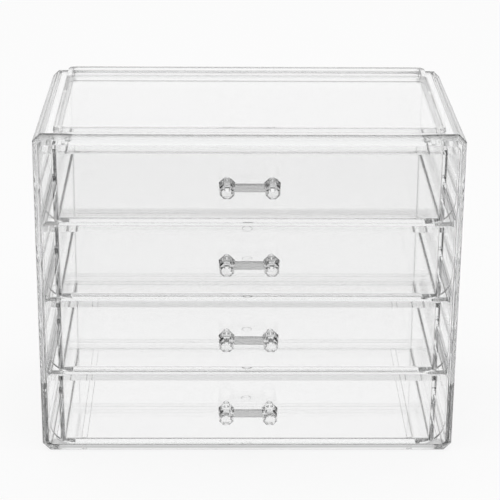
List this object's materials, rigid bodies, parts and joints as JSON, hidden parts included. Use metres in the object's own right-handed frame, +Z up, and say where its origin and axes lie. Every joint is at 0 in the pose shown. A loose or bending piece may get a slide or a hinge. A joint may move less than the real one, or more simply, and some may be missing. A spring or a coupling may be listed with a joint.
{
  "type": "make-up organiser with drawers",
  "caption": "Clear moulded plastic make-up organiser with a shallow tray on top and full-width sliding drawers, each with a small faceted bar handle.",
  "frame": {"origin": "bottom centre of the whole product, handles included, on the surface it stands on", "axes": "+Z up, +X to the right seen from the front, the front faces -Y and the drawers slide out towards -Y"},
  "size_m": [0.24, 0.1524, 0.1973],
  "materials": {
    "case_plastic": "clear, polished mould",
    "drawer_plastic": "clear, polished mould",
    "handle_plastic": "clear, faceted and polished"
  },
  "bodies": {
    "case": {"case": "case_plastic"},
    "drawer_1": {"drawer_1": "drawer_plastic", "knob_left_1": "handle_plastic", "knob_right_1": "handle_plastic", "handle_rod_1": "handle_plastic"},
    "drawer_2": {"drawer_2": "drawer_plastic", "knob_left_2": "handle_plastic", "knob_right_2": "handle_plastic", "handle_rod_2": "handle_plastic"},
    "drawer_3": {"drawer_3": "drawer_plastic", "knob_left_3": "handle_plastic", "knob_right_3": "handle_plastic", "handle_rod_3": "handle_plastic"},
    "drawer_4": {"drawer_4": "drawer_plastic", "knob_left_4": "handle_plastic", "knob_right_4": "handle_plastic", "handle_rod_4": "handle_plastic"}
  },
  "joints": [
    {"name": "drawer_1_slide", "type": "slide", "parent": "case", "child": "drawer_1", "axis": [0, -1, 0], "range_m": [0, 0.105]},
    {"name": "drawer_2_slide", "type": "slide", "parent": "case", "child": "drawer_2", "axis": [0, -1, 0], "range_m": [0, 0.105]},
    {"name": "drawer_3_slide", "type": "slide", "parent": "case", "child": "drawer_3", "axis": [0, -1, 0], "range_m": [0, 0.105]},
    {"name": "drawer_4_slide", "type": "slide", "parent": "case", "child": "drawer_4", "axis": [0, -1, 0], "range_m": [0, 0.105]}
  ]
}
